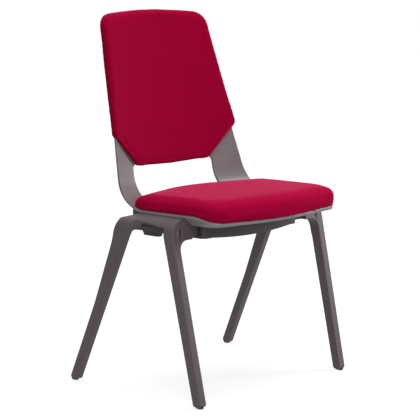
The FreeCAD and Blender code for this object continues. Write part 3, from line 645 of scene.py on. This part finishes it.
RIM_CENTRE = (130.0, -120.0)
RIM_ANGLES = (-2.0, 90.0)
RIM_KNEE_ANGLE = 17.0
RIM_STEPS = 64
RIM_WIDTH = 5.0
RIM_DRAFT = 0.3
RIM_EXTRA = 0.5
RIM_SUNK = 1.0
RIM_CLEARANCE = 1.0
EDGE_INSET = 1.5
EDGE_REACH = 200.0
EDGE_HALVINGS = 24
RAY_LOW = 300.0
RAY_GAP = 0.1
UNDER_RIM = ("side_frame_right", "side_frame_left", "seat_carrier")
UPWARDS = Vector((0.0, 0.0, 1.0))


def shell_edge(shell, centre, way):
    """The shell's reach from the centre in a plan direction, and its underside there, in millimetres."""
    def under(reach):
        spot = (centre + way * reach) * MM
        return shell.ray_cast(Vector((spot.x, spot.y, RAY_LOW * MM)), UPWARDS)[0]

    near, far = 0.0, EDGE_REACH
    for turn in range(EDGE_HALVINGS):
        middle = (near + far) / 2.0
        if under(middle) is None:
            far = middle
        else:
            near = middle
    return near, under(near - EDGE_INSET).z / MM


def node_tree(node):
    """A search tree of a CAD node's faces."""
    work = node_mesh(node)
    tree = BVHTree.FromBMesh(work)
    work.free()
    return tree


def make_rim(side, name):
    """A drafted rim under the shell's edge, as low as its front edge and clear of the frame below."""
    shell = node_tree("seat_back_shell")
    below = [node_tree(node) for node in UNDER_RIM]
    centre = Vector((RIM_CENTRE[0] * side, RIM_CENTRE[1], 0.0))
    stations = []
    for i in range(RIM_STEPS + 1):
        angle = RIM_ANGLES[0] + (RIM_ANGLES[1] - RIM_ANGLES[0]) * i / RIM_STEPS
        turned = math.radians(angle)
        way = Vector((side * math.cos(turned), -math.sin(turned), 0.0))
        stations.append((angle, way) + shell_edge(shell, centre, way))
    level = min(under for angle, way, reach, under in stations) - RIM_EXTRA
    work = bmesh.new()
    rings = []
    for angle, way, reach, under in stations:
        low = under + (level - under) * eased_step(angle, RIM_ANGLES[0], RIM_KNEE_ANGLE)
        for inset in (0.0, RIM_WIDTH):
            spot = (centre + way * (reach - inset)) * MM
            start = Vector((spot.x, spot.y, (under - RAY_GAP) * MM))
            for tree in below:
                hit = tree.ray_cast(start, -UPWARDS)[0]
                if hit is not None:
                    low = max(low, hit.z / MM + RIM_CLEARANCE)
        low = min(low, under)
        outer = reach - RIM_DRAFT * (under - low)
        root_z = under + RIM_SUNK
        profile = [(reach, root_z), (outer, low), (outer - RIM_WIDTH, low), (reach - RIM_WIDTH, root_z)]
        rings.append([work.verts.new((centre + way * out + UPWARDS * z) * MM) for out, z in profile])
    for ring, after in zip(rings, rings[1:]):
        for i in range(len(ring)):
            beside = (i + 1) % len(ring)
            work.faces.new((ring[i], after[i], after[beside], ring[beside]))
            work.edges.get((ring[i], after[i])).smooth = False
    work.faces.new(list(reversed(rings[0])))
    work.faces.new(rings[-1])
    bmesh.ops.recalc_face_normals(work, faces=work.faces)
    mesh = bpy.data.meshes.new(name)
    work.to_mesh(mesh)
    work.free()
    dress(new_object(name, mesh), SHELL, subdivide=False)


# Floor and light

WORLD_LIGHT = 0.36
WORLD_SEEN = 1.0
FLOOR_REACH = 12.0
FLOOR_SHED = 0.22
FLOOR_PAINT = 0.85
FLOOR_GLOW = 1.1
FADE_NEAR = 0.45
FADE_FAR = 1.5
FADE_LEAST = 0.7

# Each lamp's name, its place, what it aims at, the side of its square, in metres, and its watts
LAMPS = [("key", (-2.3, -2.3, 1.4), (0.0, 0.0, 0.5), 2.0, 54.0),
         ("top", (0.3, -0.1, 3.4), (0.0, 0.0, 0.4), 2.4, 83.0),
         ("side", (2.2, -1.4, 1.1), (0.0, 0.0, 0.5), 0.8, 44.0),
         ("rear", (0.9, 2.7, 2.2), (0.0, 0.0, 0.5), 1.8, 24.0)]


def add_area(name, place, aim, size, power):
    data = bpy.data.lights.new(name, "AREA")
    data.shape = "SQUARE"
    data.size = size
    data.energy = power
    lamp = bpy.data.objects.new(name, data)
    lamp.location = place
    lamp.rotation_euler = (Vector(aim) - Vector(place)).to_track_quat("-Z", "Y").to_euler()
    scene.collection.objects.link(lamp)


def seen_directly(tree):
    """1 for rays that show the backdrop itself or its reflection, 0 for the light it sheds."""
    rays = tree.nodes.new("ShaderNodeLightPath")
    either = tree.nodes.new("ShaderNodeMath")
    either.operation = "MAXIMUM"
    tree.links.new(rays.outputs["Is Camera Ray"], either.inputs[0])
    tree.links.new(rays.outputs["Is Glossy Ray"], either.inputs[1])
    return either.outputs["Value"]


def add_world():
    """White to the camera, and a dimmer even light on the part."""
    world = bpy.data.worlds.new("studio")
    world.use_nodes = True
    scene.world = world
    tree = world.node_tree
    ground = tree.nodes["Background"]
    ground.inputs["Color"].default_value = (1.0, 1.0, 1.0, 1.0)
    level = tree.nodes.new("ShaderNodeMapRange")
    level.inputs["To Min"].default_value = WORLD_LIGHT
    level.inputs["To Max"].default_value = WORLD_SEEN
    rays = tree.nodes.new("ShaderNodeLightPath")
    tree.links.new(rays.outputs["Is Camera Ray"], level.inputs["Value"])
    tree.links.new(level.outputs["Result"], ground.inputs["Strength"])


def add_floor():
    """A pale floor that takes the part's shadow and fades into the white around it."""
    mesh = bpy.data.meshes.new("floor")
    corners = [(x * FLOOR_REACH, y * FLOOR_REACH, 0.0) for x, y in ((-1, -1), (1, -1), (1, 1), (-1, 1))]
    mesh.from_pydata(corners, [], [(0, 1, 2, 3)])
    floor = new_object("floor", mesh)
    material = bpy.data.materials.new("pale_floor")
    material.use_nodes = True
    tree = material.node_tree
    tree.nodes.remove(tree.nodes["Principled BSDF"])
    shade = tree.nodes.new("ShaderNodeBsdfDiffuse")
    shade.inputs["Color"].default_value = (FLOOR_SHED, FLOOR_SHED, FLOOR_SHED, 1.0)
    paint = tree.nodes.new("ShaderNodeBsdfDiffuse")
    paint.inputs["Color"].default_value = (FLOOR_PAINT, FLOOR_PAINT, FLOOR_PAINT, 1.0)
    glow = tree.nodes.new("ShaderNodeEmission")
    glow.inputs["Strength"].default_value = FLOOR_GLOW
    coords = tree.nodes.new("ShaderNodeTexCoord")
    away = tree.nodes.new("ShaderNodeVectorMath")
    away.operation = "LENGTH"
    tree.links.new(coords.outputs["Object"], away.inputs[0])
    fade = tree.nodes.new("ShaderNodeMapRange")
    fade.interpolation_type = "SMOOTHSTEP"
    fade.inputs["From Min"].default_value = FADE_NEAR
    fade.inputs["From Max"].default_value = FADE_FAR
    fade.inputs["To Min"].default_value = FADE_LEAST
    fade.inputs["To Max"].default_value = 1.0
    tree.links.new(away.outputs["Value"], fade.inputs["Value"])
    shown = tree.nodes.new("ShaderNodeMixShader")
    tree.links.new(fade.outputs["Result"], shown.inputs["Fac"])
    tree.links.new(paint.outputs["BSDF"], shown.inputs[1])
    tree.links.new(glow.outputs["Emission"], shown.inputs[2])
    mix = tree.nodes.new("ShaderNodeMixShader")
    tree.links.new(seen_directly(tree), mix.inputs["Fac"])
    tree.links.new(shade.outputs["BSDF"], mix.inputs[1])
    tree.links.new(shown.outputs["Shader"], mix.inputs[2])
    tree.links.new(mix.outputs["Shader"], tree.nodes["Material Output"].inputs["Surface"])
    mesh.materials.append(material)


finish_nodes()
make_seat_cushion()
back_skin = skin_tree(make_back_cushion())
for view, side in (("front", -1.0), ("rear", 1.0)):
    make_hem(back_skin, side, "sleeve_hem_" + view)
    make_stitches(back_skin, side, "sleeve_stitches_" + view)
for view, side in (("right", -1.0), ("left", 1.0)):
    make_rim(side, "shell_rim_" + view)
add_camera()
add_world()
add_floor()
for lamp in LAMPS:
    add_area(*lamp)
